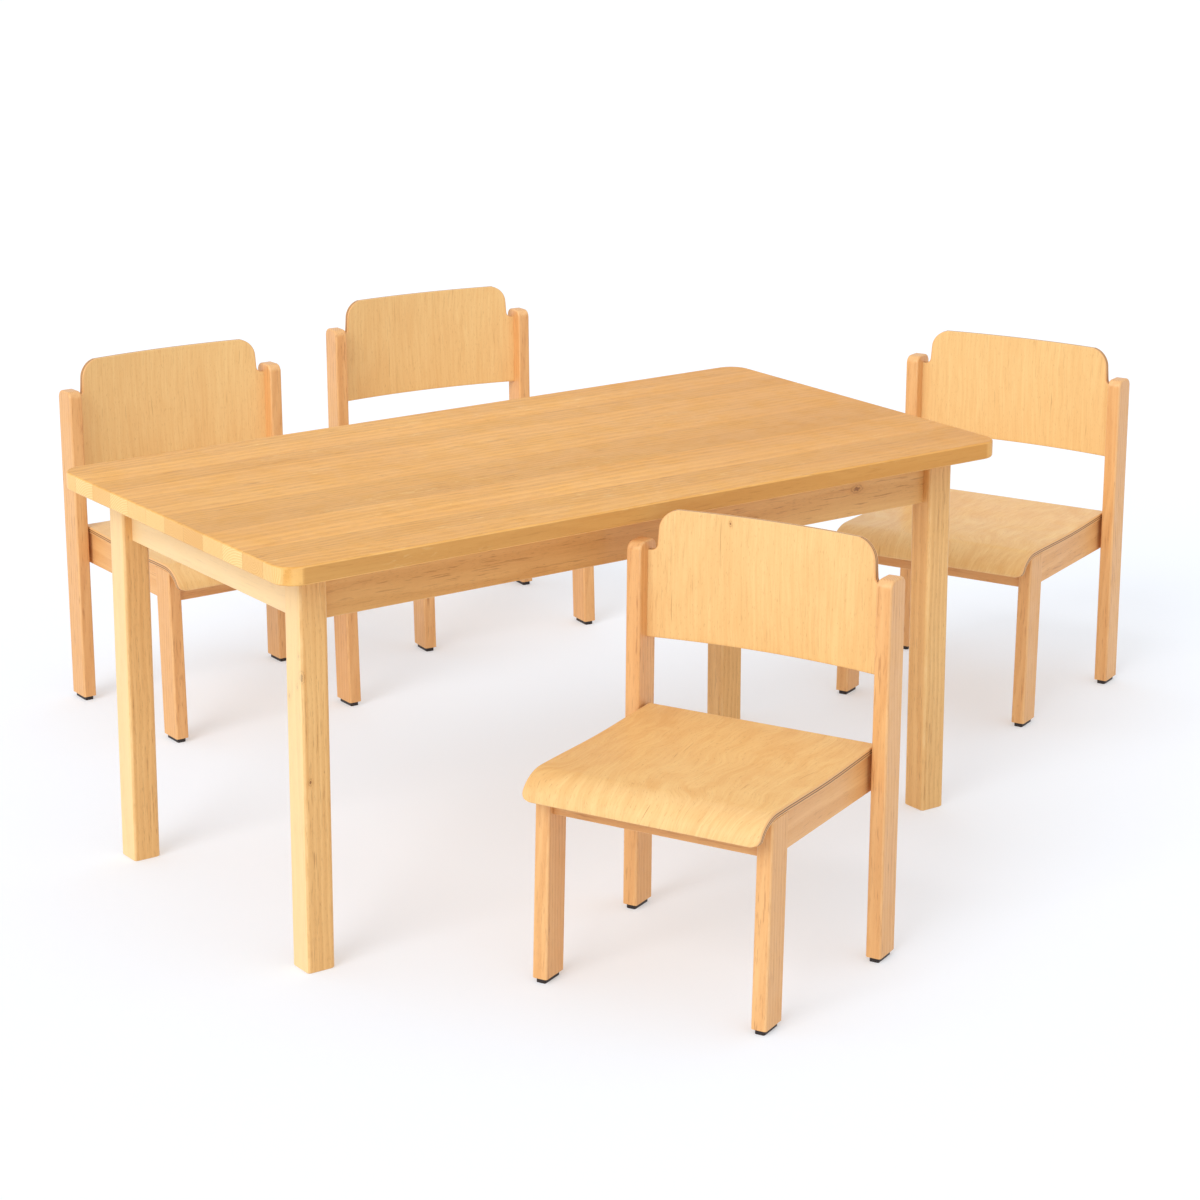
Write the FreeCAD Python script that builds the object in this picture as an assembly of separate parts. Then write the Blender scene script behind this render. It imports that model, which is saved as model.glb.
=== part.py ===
import FreeCAD, Part
import math
import os

os.makedirs("parts", exist_ok=True)

# Nursery table with four chairs round it, all in millimetres.
# +Z is up and the floor is z = 0. +X runs along the table.

# Place of the table's centre, so that the whole set stands centred on the origin
table_x = -305.53
table_y = -195.33

# Table
top_length = 1200.0
top_width = 636.0
top_height = 570.0
top_thickness = 25.0
top_corner_radius = 32.0
top_edge_radius = 3.0
table_leg = 42.0
table_leg_radius = 6.0
leg_inset = 50.0
foot_bevel = 1.5
apron_depth = 70.0
apron_thick = 20.0
apron_recess = 15.0
apron_edge_radius = 2.0
apron_tenon_long = 11.0
apron_tenon_thick = 10.0
apron_tenon_low = 7.0
apron_tenon_high = 28.0
brace_near = 40.0
brace_far = 65.5
brace_below_top = 3.0
brace_height = 42.0
bolt_radius = 3.0
bolt_below_top = 23.0
bolt_in_leg = 20.0
bolt_past_nut = 3.0
nut_radius = 6.0
nut_thick = 6.0
top_screw_radius = 2.25
top_screw_head = 4.5
top_screw_head_thick = 3.0
top_screw_bite = 13.0
top_screw_shank_in_apron = 30.0
top_screw_spread = 300.0

# Chair, in its own frame: +X is the way the sitter faces, +Y is the sitter's left
chair_width = 392.0
chair_depth = 325.0
post_height = 522.0
post_thick = 22.0
post_depth = 45.0
post_top_radius = 13.0
post_edge_radius = 3.5
post_lean_degrees = 1.0
seat_gap = 3.0
leg_thick = 22.0
leg_depth = 45.0
leg_edge_radius = 3.5
leg_splay_degrees = 2.4
glide_thick = 7.0
glide_inset = 4.0
glide_corner_radius = 2.5
glide_pin_radius = 3.0
glide_pin_long = 12.0
glide_pin_root = 1.0
rail_bottom = 231.0
side_rail_thick = 18.0
side_rail_inset = 3.0
front_rail_thick = 18.0
front_rail_setback = 10.0
rear_rail_thick = 20.0
rear_rail_setback = 8.0
rail_edge_radius = 1.5
front_rail_lower = 1.0
rail_tenon_thick = 8.0
rail_tenon_low = 12.0
rail_tenon_high = 44.0
rail_tenon_long = 14.0
rear_tenon_long = 9.0
seat_rear_height = 294.0
seat_dish = 2.5
seat_fall = 2.0
seat_thick = 10.0
seat_rear_x = -147.0
lip_start_x = 138.0
lip_reach = 50.0
lip_drop = 38.0
lip_end_degrees = 84.0
lip_corner_radius = 13.0
seat_flat_steps = 8
seat_lip_steps = 8
back_low = 387.0
back_high = 567.0
back_shoulder = 509.0
back_thick = 9.0
back_bow = 18.0
back_in_post = 21.0
back_groove = 8.0
back_narrowing = 12.0
back_taper = 4.0
back_corner_radius = 28.0
back_shoulder_radius = 8.0
seat_screw_radius = 2.0
seat_screw_head = 4.0
seat_screw_head_thick = 3.0
seat_screw_cavity = 30.0
seat_screw_bite = 4.0
seat_screw_x = (-80.0, 60.0)

# Joinery: fit round a tenon or a screw, room at a tenon's tip, room round a screw's head
slack = 0.1
end_slack = 0.5
head_slack = 1.0

# Cutting shapes: well outside a chair, just past a face, and how closely an edge is matched
reach = 400.0
past_face = 9.0
close_by = 1.0
tiny = 0.001

# Each chair: the middle of its footprint from the table's centre, and its facing angle
chairs = [
    ("chair_front", -106.0, -545.0, -155.5),
    ("chair_end", 978.0, 150.0, -157.1),
    ("chair_back_left", -87.0, 812.0, -90.2),
    ("chair_back_right", 509.0, 979.0, -95.3),
]

half_width = chair_width / 2
half_depth = chair_depth / 2
seat_half = half_width - post_thick - seat_gap
screw_y = seat_half - side_rail_inset - side_rail_thick / 2


def box(x0, x1, y0, y1, z0, z1):
    return Part.makeBox(x1 - x0, y1 - y0, z1 - z0, FreeCAD.Vector(x0, y0, z0))


def rod(radius, x, y, z0, z1):
    return Part.makeCylinder(radius, z1 - z0, FreeCAD.Vector(x, y, z0))


def group(shapes):
    return Part.makeCompound(shapes)


def edges_along(shape, axis):
    found = []
    for edge in shape.Edges:
        box_size = edge.BoundBox
        spans = {"x": box_size.XLength, "y": box_size.YLength, "z": box_size.ZLength}
        others = [spans[name] for name in spans if name != axis]
        if spans[axis] > tiny and max(others) < tiny:
            found.append(edge)
    return found


def rounded(shape, edges, radius):
    return shape.makeFillet(radius, edges)


def prism_along_x(points, x0, x1):
    corners = [FreeCAD.Vector(x0, y, z) for y, z in points]
    wire = Part.makePolygon(corners + corners[:1])
    return Part.Face(wire).extrude(FreeCAD.Vector(x1 - x0, 0, 0))


def prism_along_z(points, z0, z1):
    corners = [FreeCAD.Vector(x, y, z0) for x, y in points]
    wire = Part.makePolygon(corners + corners[:1])
    return Part.Face(wire).extrude(FreeCAD.Vector(0, 0, z1 - z0))


def mirrored_in_y(shape):
    return shape.mirror(FreeCAD.Vector(0, 0, 0), FreeCAD.Vector(0, 1, 0))


def mirrored_in_x(shape):
    return shape.mirror(FreeCAD.Vector(0, 0, 0), FreeCAD.Vector(1, 0, 0))


def leaned(shape, foot_x, degrees):
    # tips the shape about a line across the chair at floor level; positive leans back
    turned = shape.copy()
    turned.rotate(FreeCAD.Vector(foot_x, 0, 0), FreeCAD.Vector(0, 1, 0), -degrees)
    return turned


# ---- table ----

def make_tabletop():
    half_x = top_length / 2
    half_y = top_width / 2
    low = top_height - top_thickness
    slab = box(-half_x, half_x, -half_y, half_y, low, top_height)
    slab = rounded(slab, edges_along(slab, "z"), top_corner_radius)
    rim = [edge for edge in slab.Edges if edge.BoundBox.ZLength < tiny]
    return rounded(slab, rim, top_edge_radius)


def leg_outer_x():
    return top_length / 2 - leg_inset


def leg_outer_y():
    return top_width / 2 - leg_inset


def make_table_leg():
    x1 = leg_outer_x()
    y1 = leg_outer_y()
    post = box(x1 - table_leg, x1, y1 - table_leg, y1, 0, top_height - top_thickness)
    post = rounded(post, edges_along(post, "z"), table_leg_radius)
    sole = [edge for edge in post.Edges if edge.BoundBox.ZMax < tiny]
    return post.makeChamfer(foot_bevel, sole)


def make_long_apron(extra):
    # apron along +Y side; extra grows the tenons into the mortises they need
    x1 = leg_outer_x() - table_leg
    y1 = leg_outer_y() - apron_recess
    z1 = top_height - top_thickness
    z0 = z1 - apron_depth
    board = box(-x1, x1, y1 - apron_thick, y1, z0, z1)
    low_edges = [edge for edge in edges_along(board, "x") if edge.BoundBox.ZMax < z0 + close_by]
    board = rounded(board, low_edges, apron_edge_radius)
    y_mid = y1 - apron_thick / 2
    tip = x1 + apron_tenon_long + extra * end_slack / slack
    tenon = box(-tip, tip, y_mid - apron_tenon_thick / 2 - extra, y_mid + apron_tenon_thick / 2 + extra,
                z0 + apron_tenon_low - extra, z0 + apron_tenon_low + apron_tenon_high + extra)
    return board.fuse(tenon)


def make_end_apron(extra):
    y1 = leg_outer_y() - table_leg
    x1 = leg_outer_x() - apron_recess
    z1 = top_height - top_thickness
    z0 = z1 - apron_depth
    board = box(x1 - apron_thick, x1, -y1, y1, z0, z1)
    low_edges = [edge for edge in edges_along(board, "y") if edge.BoundBox.ZMax < z0 + close_by]
    board = rounded(board, low_edges, apron_edge_radius)
    x_mid = x1 - apron_thick / 2
    tip = y1 + apron_tenon_long + extra * end_slack / slack
    tenon = box(x_mid - apron_tenon_thick / 2 - extra, x_mid + apron_tenon_thick / 2 + extra, -tip, tip,
                z0 + apron_tenon_low - extra, z0 + apron_tenon_low + apron_tenon_high + extra)
    return board.fuse(tenon)


def make_brace():
    # block set across the corner between the two aprons
    x1 = leg_outer_x() - apron_recess - apron_thick
    y1 = leg_outer_y() - apron_recess - apron_thick
    z1 = top_height - top_thickness - brace_below_top
    points = [(x1 - brace_near, y1), (x1, y1 - brace_near), (x1, y1 - brace_far), (x1 - brace_far, y1)]
    return prism_along_z(points, z1 - brace_height, z1)


def diagonal_rod(radius, start, end):
    # rod on the corner's diagonal, from one distance inside the aprons to another
    x1 = leg_outer_x() - apron_recess - apron_thick
    y1 = leg_outer_y() - apron_recess - apron_thick
    z = top_height - top_thickness - bolt_below_top
    base = FreeCAD.Vector(x1 - start, y1 - start, z)
    length = (start - end) * math.sqrt(2)
    return Part.makeCylinder(radius, length, base, FreeCAD.Vector(1, 1, 0))


def make_leg_bolt(extra):
    brace_face = brace_far / 2
    leg_corner = table_leg - apron_recess - apron_thick
    nut_end = brace_face + nut_thick / math.sqrt(2)
    tip = leg_corner - bolt_in_leg / math.sqrt(2) - extra
    bolt = diagonal_rod(bolt_radius + extra, nut_end + bolt_past_nut, tip)
    if extra > 0:
        return bolt
    return bolt.fuse(diagonal_rod(nut_radius, nut_end, brace_face))


def top_screw_places():
    y = leg_outer_y() - apron_recess - apron_thick / 2
    x = leg_outer_x() - apron_recess - apron_thick / 2
    places = [(side * top_screw_spread, way * y) for side in (-1, 0, 1) for way in (-1, 1)]
    return places + [(-x, 0), (x, 0)]


def make_top_screw(place, extra):
    low = top_height - top_thickness
    shoulder = low - top_screw_shank_in_apron
    shank = rod(top_screw_radius + extra, place[0], place[1], shoulder, low + top_screw_bite + extra)
    if extra > 0:
        pocket = rod(top_screw_head + head_slack, place[0], place[1], low - apron_depth - past_face, shoulder)
        return shank.fuse(pocket)
    return shank.fuse(rod(top_screw_head, place[0], place[1], shoulder - top_screw_head_thick, shoulder))


def four_corners(shape):
    left = mirrored_in_x(shape)
    return [shape, left, mirrored_in_y(shape), mirrored_in_y(left)]


def make_table():
    nodes = {}
    screw_holes = group([make_top_screw(place, slack) for place in top_screw_places()])
    bolt_holes = group(four_corners(make_leg_bolt(slack)))
    mortises = [make_long_apron(slack), make_end_apron(slack)]
    leg = make_table_leg()
    for cutter in mortises:
        leg = leg.cut(cutter)
    leg = leg.cut(make_leg_bolt(slack))
    for name, solid in zip(("right_back", "left_back", "right_front", "left_front"), four_corners(leg)):
        nodes["table_leg_" + name] = solid
    nodes["table_top"] = make_tabletop().cut(screw_holes)
    back = make_long_apron(0).cut(screw_holes)
    right = make_end_apron(0).cut(screw_holes)
    nodes["table_apron_back"] = back
    nodes["table_apron_front"] = mirrored_in_y(back)
    nodes["table_apron_right"] = right
    nodes["table_apron_left"] = mirrored_in_x(right)
    nodes["table_corner_braces"] = group([brace.cut(bolt_holes) for brace in four_corners(make_brace())])
    nodes["table_leg_bolts"] = group(four_corners(make_leg_bolt(0)))
    nodes["table_top_screws"] = group([make_top_screw(place, 0) for place in top_screw_places()])
    return nodes


# ---- chair ----

def seat_line():
    # side line of the seat's upper face: a shallow dish, then a lip that rolls over the front rail
    points = []
    for step in range(seat_flat_steps):
        share = step / seat_flat_steps
        x = seat_rear_x + share * (lip_start_x - seat_rear_x)
        sag = seat_dish * math.sin(math.pi * share) ** 2 + seat_fall * share
        points.append((x, seat_rear_height - sag))
    for step in range(seat_lip_steps + 1):
        angle = math.radians(lip_end_degrees * step / seat_lip_steps)
        x = lip_start_x + lip_reach * math.sin(angle)
        sag = seat_fall + lip_drop * (1 - math.cos(angle))
        points.append((x, seat_rear_height - sag))
    return points


def offset_line(points, distance):
    # the same line moved square to itself, to the underside
    moved = []
    for index, (x, z) in enumerate(points):
        before = points[max(index - 1, 0)]
        after = points[min(index + 1, len(points) - 1)]
        run = after[0] - before[0]
        rise = after[1] - before[1]
        length = math.hypot(run, rise)
        moved.append((x + distance * rise / length, z - distance * run / length))
    return moved


def smooth_edge(points, y):
    curve = Part.BSplineCurve()
    curve.interpolate([FreeCAD.Vector(x, y, z) for x, z in points])
    return curve.toShape()


def straight_edge(start, end, y):
    return Part.makeLine(FreeCAD.Vector(start[0], y, start[1]), FreeCAD.Vector(end[0], y, end[1]))


def make_seat():
    upper = seat_line()
    lower = offset_line(upper, seat_thick)
    edges = [smooth_edge(upper, -seat_half), straight_edge(upper[-1], lower[-1], -seat_half),
             smooth_edge(lower, -seat_half), straight_edge(lower[0], upper[0], -seat_half)]
    face = Part.Face(Part.Wire(Part.__sortEdges__(edges)))
    shell = face.extrude(FreeCAD.Vector(0, 2 * seat_half, 0))
    lip_low = upper[-1][1]
    front_view = box(seat_rear_x - past_face, reach, -seat_half, seat_half, lip_low, reach)
    bottom = [edge for edge in edges_along(front_view, "x") if edge.BoundBox.ZMax < lip_low + close_by]
    return shell.common(rounded(front_view, bottom, lip_corner_radius))


def above_underside():
    # everything on the seat's side of its underside, for shaping the frame's tops
    lower = offset_line(seat_line(), seat_thick)
    start = lower[0]
    end = lower[-1]
    outline = [smooth_edge(lower, -reach)]
    path = [end, (reach, end[1]), (reach, reach), (-reach, reach), (-reach, start[1]), start]
    for index in range(len(path) - 1):
        outline.append(straight_edge(path[index], path[index + 1], -reach))
    face = Part.Face(Part.Wire(Part.__sortEdges__(outline)))
    return face.extrude(FreeCAD.Vector(0, 2 * reach, 0))


def below_feet():
    return box(-reach, reach, -reach, reach, -reach, glide_thick)


def make_post_blank():
    blank = box(-half_depth, -half_depth + post_depth, half_width - post_thick, half_width, -past_face, post_height)
    tops = [edge for edge in edges_along(blank, "y") if edge.BoundBox.ZMin > post_height - close_by]
    blank = rounded(blank, tops, post_top_radius)
    sides = []
    for edge in blank.Edges:
        if edge.BoundBox.YLength < tiny and edge.BoundBox.ZMax > 0:
            sides.append(edge)
    return rounded(blank, sides, post_edge_radius)


def make_backrest(extra):
    # curved board: an upright ring sector trimmed to the front outline, ends let into the posts
    inner_half = half_width - post_thick
    radius = inner_half ** 2 / (2 * back_bow) + back_bow / 2
    front_x = -half_depth + post_depth - back_in_post
    centre_x = front_x + math.sqrt(radius ** 2 - inner_half ** 2)
    centre = FreeCAD.Vector(centre_x, 0, back_low - past_face)
    ring_height = back_high - back_low + 2 * past_face
    ring = Part.makeCylinder(radius + back_thick + extra, ring_height, centre)
    ring = ring.cut(Part.makeCylinder(radius - extra, ring_height, centre))
    wide = inner_half + back_groove + extra
    narrow = inner_half - back_narrowing
    tip = narrow - back_taper
    low = back_low - extra
    step = back_shoulder + extra
    points = [(-wide, low), (wide, low), (wide, step), (narrow, step), (tip, back_high),
              (-tip, back_high), (-narrow, step), (-wide, step)]
    front_view = prism_along_x(points, -reach, 0)
    tops = [edge for edge in edges_along(front_view, "x") if edge.BoundBox.ZMax > back_high - close_by]
    front_view = rounded(front_view, tops, back_corner_radius)
    shoulders = [edge for edge in edges_along(front_view, "x")
                 if abs(edge.BoundBox.ZMax - step) < close_by and abs(edge.BoundBox.YMax) < inner_half]
    front_view = rounded(front_view, shoulders, back_shoulder_radius)
    return ring.common(front_view)


def tenon_span():
    return rail_bottom + rail_tenon_low, rail_bottom + rail_tenon_high


def make_rear_rail(extra):
    inner_half = half_width - post_thick
    x0 = -half_depth + rear_rail_setback
    x1 = x0 + rear_rail_thick
    board = box(x0, x1, -inner_half, inner_half, rail_bottom, seat_rear_height)
    low_edges = [edge for edge in edges_along(board, "y") if edge.BoundBox.ZMax < rail_bottom + close_by]
    board = rounded(board, low_edges, rail_edge_radius)
    z0, z1 = tenon_span()
    middle = (x0 + x1) / 2
    tip = inner_half + rail_tenon_long + extra * end_slack / slack
    tenon = box(middle - rail_tenon_thick / 2 - extra, middle + rail_tenon_thick / 2 + extra, -tip, tip,
                z0 - extra, z1 + extra)
    return board.fuse(tenon)


def make_front_rail(extra):
    side = seat_half - leg_thick
    x1 = half_depth - front_rail_setback
    x0 = x1 - front_rail_thick
    board = box(x0, x1, -side, side, rail_bottom - front_rail_lower, seat_rear_height)
    low_edges = [edge for edge in edges_along(board, "y") if edge.BoundBox.ZMax < rail_bottom + close_by]
    board = rounded(board, low_edges, rail_edge_radius)
    z0, z1 = tenon_span()
    middle = (x0 + x1) / 2
    tip = side + rail_tenon_long + extra * end_slack / slack
    tenon = box(middle - rail_tenon_thick / 2 - extra, middle + rail_tenon_thick / 2 + extra, -tip, tip,
                z0 - extra, z1 + extra)
    return board.fuse(tenon)


def make_side_rail(extra):
    # left-hand rail, from the front leg's back face to the rear rail's front face
    y1 = seat_half - side_rail_inset
    y0 = y1 - side_rail_thick
    board = box(-reach, reach, y0, y1, rail_bottom, seat_rear_height)
    low_edges = [edge for edge in edges_along(board, "x") if edge.BoundBox.ZMax < rail_bottom + close_by]
    board = rounded(board, low_edges, rail_edge_radius)
    front_face = half_depth - leg_depth
    rear_face = -half_depth + rear_rail_setback + rear_rail_thick
    in_front = leaned(box(front_face, 2 * reach, -reach, reach, -reach, reach), half_depth, leg_splay_degrees)
    behind = leaned(box(-2 * reach, rear_face, -reach, reach, -reach, reach), -half_depth, post_lean_degrees)
    board = board.cut(in_front).cut(behind)
    z0, z1 = tenon_span()
    middle = (y0 + y1) / 2
    lean_back = math.tan(math.radians(leg_splay_degrees)) * rail_bottom
    tip = front_face - lean_back + rail_tenon_long + extra * end_slack / slack
    tail = rear_face - rear_tenon_long - extra * end_slack / slack
    tenon = box(tail, tip, middle - rail_tenon_thick / 2 - extra, middle + rail_tenon_thick / 2 + extra,
                z0 - extra, z1 + extra)
    return board.fuse(tenon)


def make_glide(x, y, long, wide, extra):
    # plate under a foot, with a pin up into the wood
    if extra > 0:
        return rod(glide_pin_radius + extra, x, y, glide_thick - glide_pin_root, glide_thick + glide_pin_long + extra)
    plate = box(x - long / 2 + glide_inset, x + long / 2 - glide_inset,
                y - wide / 2 + glide_inset, y + wide / 2 - glide_inset, 0, glide_thick)
    plate = rounded(plate, edges_along(plate, "z"), glide_corner_radius)
    return plate.fuse(rod(glide_pin_radius, x, y, glide_thick - glide_pin_root, glide_thick + glide_pin_long))


def foot_places():
    rear = (-half_depth + post_depth / 2, half_width - post_thick / 2, post_depth, post_thick)
    front = (half_depth - leg_depth / 2, seat_half - leg_thick / 2, leg_depth, leg_thick)
    return [rear, front]


def make_glides(extra):
    left = [make_glide(x, y, long, wide, extra) for x, y, long, wide in foot_places()]
    return group(left + [mirrored_in_y(solid) for solid in left])


def underside_height(x):
    lower = offset_line(seat_line(), seat_thick)
    for start, end in zip(lower, lower[1:]):
        if start[0] <= x <= end[0]:
            share = (x - start[0]) / (end[0] - start[0])
            return start[1] + share * (end[1] - start[1])
    return lower[-1][1]


def make_seat_screw(x, y, extra):
    shoulder = rail_bottom + seat_screw_cavity
    top = underside_height(x) + seat_screw_bite + extra
    shank = rod(seat_screw_radius + extra, x, y, shoulder, top)
    if extra > 0:
        return shank.fuse(rod(seat_screw_head + head_slack, x, y, rail_bottom - past_face, shoulder))
    return shank.fuse(rod(seat_screw_head, x, y, shoulder - seat_screw_head_thick, shoulder))


def make_seat_screws(extra):
    left = [make_seat_screw(x, screw_y, extra) for x in seat_screw_x]
    return group(left + [mirrored_in_y(solid) for solid in left])


def make_chair():
    nodes = {}
    over_frame = above_underside()
    under_feet = below_feet()
    pin_holes = make_glides(slack)
    screw_holes = make_seat_screws(slack)
    side_mortise = make_side_rail(slack)
    rear_rail = make_rear_rail(0)
    post = make_post_blank().cut(make_backrest(slack)).cut(make_rear_rail(slack))
    post = leaned(post, -half_depth, post_lean_degrees).cut(under_feet).cut(pin_holes)
    nodes["post_left"] = post
    nodes["post_right"] = mirrored_in_y(post)
    nodes["backrest"] = leaned(make_backrest(0), -half_depth, post_lean_degrees)
    rear_rail = leaned(rear_rail, -half_depth, post_lean_degrees).cut(over_frame)
    nodes["rear_rail"] = rear_rail.cut(side_mortise).cut(mirrored_in_y(side_mortise))
    leg = box(half_depth - leg_depth, half_depth, seat_half - leg_thick, seat_half, -past_face, reach)
    leg = rounded(leg, edges_along(leg, "z"), leg_edge_radius).cut(make_front_rail(slack))
    leg = leaned(leg, half_depth, leg_splay_degrees)
    leg = leg.cut(over_frame).cut(under_feet).cut(side_mortise).cut(pin_holes)
    nodes["leg_left"] = leg
    nodes["leg_right"] = mirrored_in_y(leg)
    front_rail = leaned(make_front_rail(0), half_depth, leg_splay_degrees)
    nodes["front_rail"] = front_rail.cut(over_frame)
    side_rail = make_side_rail(0).cut(over_frame).cut(screw_holes)
    nodes["side_rail_left"] = side_rail
    nodes["side_rail_right"] = mirrored_in_y(side_rail)
    nodes["seat"] = make_seat().cut(screw_holes)
    nodes["glides"] = make_glides(0)
    nodes["seat_screws"] = make_seat_screws(0)
    return nodes


# ---- the set ----

def placed(shape, x, y, degrees):
    moved = shape.copy()
    moved.rotate(FreeCAD.Vector(0, 0, 0), FreeCAD.Vector(0, 0, 1), degrees)
    moved.translate(FreeCAD.Vector(table_x + x, table_y + y, 0))
    return moved


for name, shape in make_table().items():
    placed(shape, 0, 0, 0).exportStep("parts/" + name + ".step")

chair_nodes = make_chair()
for chair, x, y, degrees in chairs:
    for name, shape in chair_nodes.items():
        placed(shape, x, y, degrees).exportStep("parts/" + chair + "_" + name + ".step")

print("parts written:", len(os.listdir("parts")))
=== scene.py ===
import math

import bmesh
import bpy
import numpy as np
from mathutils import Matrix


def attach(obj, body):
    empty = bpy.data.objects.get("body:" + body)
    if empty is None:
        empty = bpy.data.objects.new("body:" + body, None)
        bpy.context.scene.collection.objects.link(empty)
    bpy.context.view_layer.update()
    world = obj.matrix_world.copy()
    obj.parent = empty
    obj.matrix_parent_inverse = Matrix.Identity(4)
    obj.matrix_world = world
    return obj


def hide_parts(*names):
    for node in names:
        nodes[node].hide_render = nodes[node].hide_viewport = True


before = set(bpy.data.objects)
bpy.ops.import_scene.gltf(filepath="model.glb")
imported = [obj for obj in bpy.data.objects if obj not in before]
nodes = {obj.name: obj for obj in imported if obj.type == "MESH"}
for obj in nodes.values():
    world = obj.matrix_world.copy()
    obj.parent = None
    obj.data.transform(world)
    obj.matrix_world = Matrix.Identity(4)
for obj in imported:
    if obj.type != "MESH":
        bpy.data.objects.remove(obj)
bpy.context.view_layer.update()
print("frame loaded:", len(nodes), "nodes")

# where the table and the chairs stand, metres and degrees
layout = {
    "table": (-0.30553, -0.19533),
    "chairs": {
        "chair_front": (-0.106, -0.545, -155.5),
        "chair_end": (0.978, 0.150, -157.1),
        "chair_back_left": (-0.087, 0.812, -90.2),
        "chair_back_right": (0.509, 0.979, -95.3),
    },
}


# short ways to make and link nodes

def newGroup(name, inputs, outputs):
    # empty shader node group with named sockets
    tree = bpy.data.node_groups.new(name, "ShaderNodeTree")
    for label, kind, value in inputs:
        socket = tree.interface.new_socket(label, in_out="INPUT", socket_type=kind)
        if value is not None:
            socket.default_value = value
    for label, kind in outputs:
        tree.interface.new_socket(label, in_out="OUTPUT", socket_type=kind)
    return tree, tree.nodes.new("NodeGroupInput"), tree.nodes.new("NodeGroupOutput")


def plug(tree, source, target):
    # a number, a colour or a vector is written on the socket, anything else is linked
    if isinstance(source, bpy.types.NodeSocket):
        tree.links.new(source, target)
    elif source is not None:
        target.default_value = source


def mathNode(tree, operation, first, second=None, third=None):
    node = tree.nodes.new("ShaderNodeMath")
    node.operation = operation
    for index, value in enumerate((first, second, third)):
        plug(tree, value, node.inputs[index])
    return node.outputs[0]


def times(tree, first, second):
    return mathNode(tree, "MULTIPLY", first, second)


def plus(tree, first, second):
    return mathNode(tree, "ADD", first, second)


def minus(tree, first, second):
    return mathNode(tree, "SUBTRACT", first, second)


def vectorNode(tree, operation, first, second=None):
    node = tree.nodes.new("ShaderNodeVectorMath")
    node.operation = operation
    plug(tree, first, node.inputs[0])
    plug(tree, second, node.inputs[1])
    return node.outputs[0]


def joinXyz(tree, x, y, z):
    node = tree.nodes.new("ShaderNodeCombineXYZ")
    for index, value in enumerate((x, y, z)):
        plug(tree, value, node.inputs[index])
    return node.outputs[0]


def splitXyz(tree, vector):
    node = tree.nodes.new("ShaderNodeSeparateXYZ")
    plug(tree, vector, node.inputs[0])
    return node.outputs[0], node.outputs[1], node.outputs[2]


def noiseNode(tree, vector, scale, detail=3.0, roughness=0.5, distortion=0.0):
    node = tree.nodes.new("ShaderNodeTexNoise")
    plug(tree, vector, node.inputs["Vector"])
    plug(tree, scale, node.inputs["Scale"])
    plug(tree, detail, node.inputs["Detail"])
    plug(tree, roughness, node.inputs["Roughness"])
    plug(tree, distortion, node.inputs["Distortion"])
    return node.outputs["Fac"]


def stretched(tree, vector, x, y, z):
    return vectorNode(tree, "MULTIPLY", vector, (x, y, z))


def ramp(tree, value, low, high, toLow=0.0, toHigh=1.0, smooth=True):
    node = tree.nodes.new("ShaderNodeMapRange")
    node.interpolation_type = "SMOOTHSTEP" if smooth else "LINEAR"
    labels = ("Value", "From Min", "From Max", "To Min", "To Max")
    for label, number in zip(labels, (value, low, high, toLow, toHigh)):
        plug(tree, number, node.inputs[label])
    return node.outputs["Result"]


def mixColor(tree, factor, first, second, blend="MIX"):
    # the colour sockets of this node come after its float ones
    node = tree.nodes.new("ShaderNodeMix")
    node.data_type = "RGBA"
    node.blend_type = blend
    plug(tree, factor, node.inputs[0])
    plug(tree, first, node.inputs[6])
    plug(tree, second, node.inputs[7])
    return node.outputs[2]


def stain(tree, color, mask, amount, other):
    # the other colour laid over the first where the mask is, by the amount
    return mixColor(tree, times(tree, mask, amount), color, other)


def linear(red, green, blue):
    # screen colour from 0 to 255 turned into scene colour
    def one(value):
        value = value / 255
        return value / 12.92 if value <= 0.04045 else ((value + 0.055) / 1.055) ** 2.4
    return (one(red), one(green), one(blue), 1.0)


# effects that several woods share

grainShape = {
    "stray": 0.055,         # metres that the rings wander at waviness 1
    "slant": 0.45,          # how much the rings lean across the board
    "ringShare": 0.75,      # of the figure
    "broadShare": 0.55,     # of the figure
    "fibre": 420.0,         # fine streaks to the metre, across
    "pore": 1500.0,         # pores to the metre, across
    "poreInEarlyWood": 0.35,
    "strokeAtLeast": 0.35,
}


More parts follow.
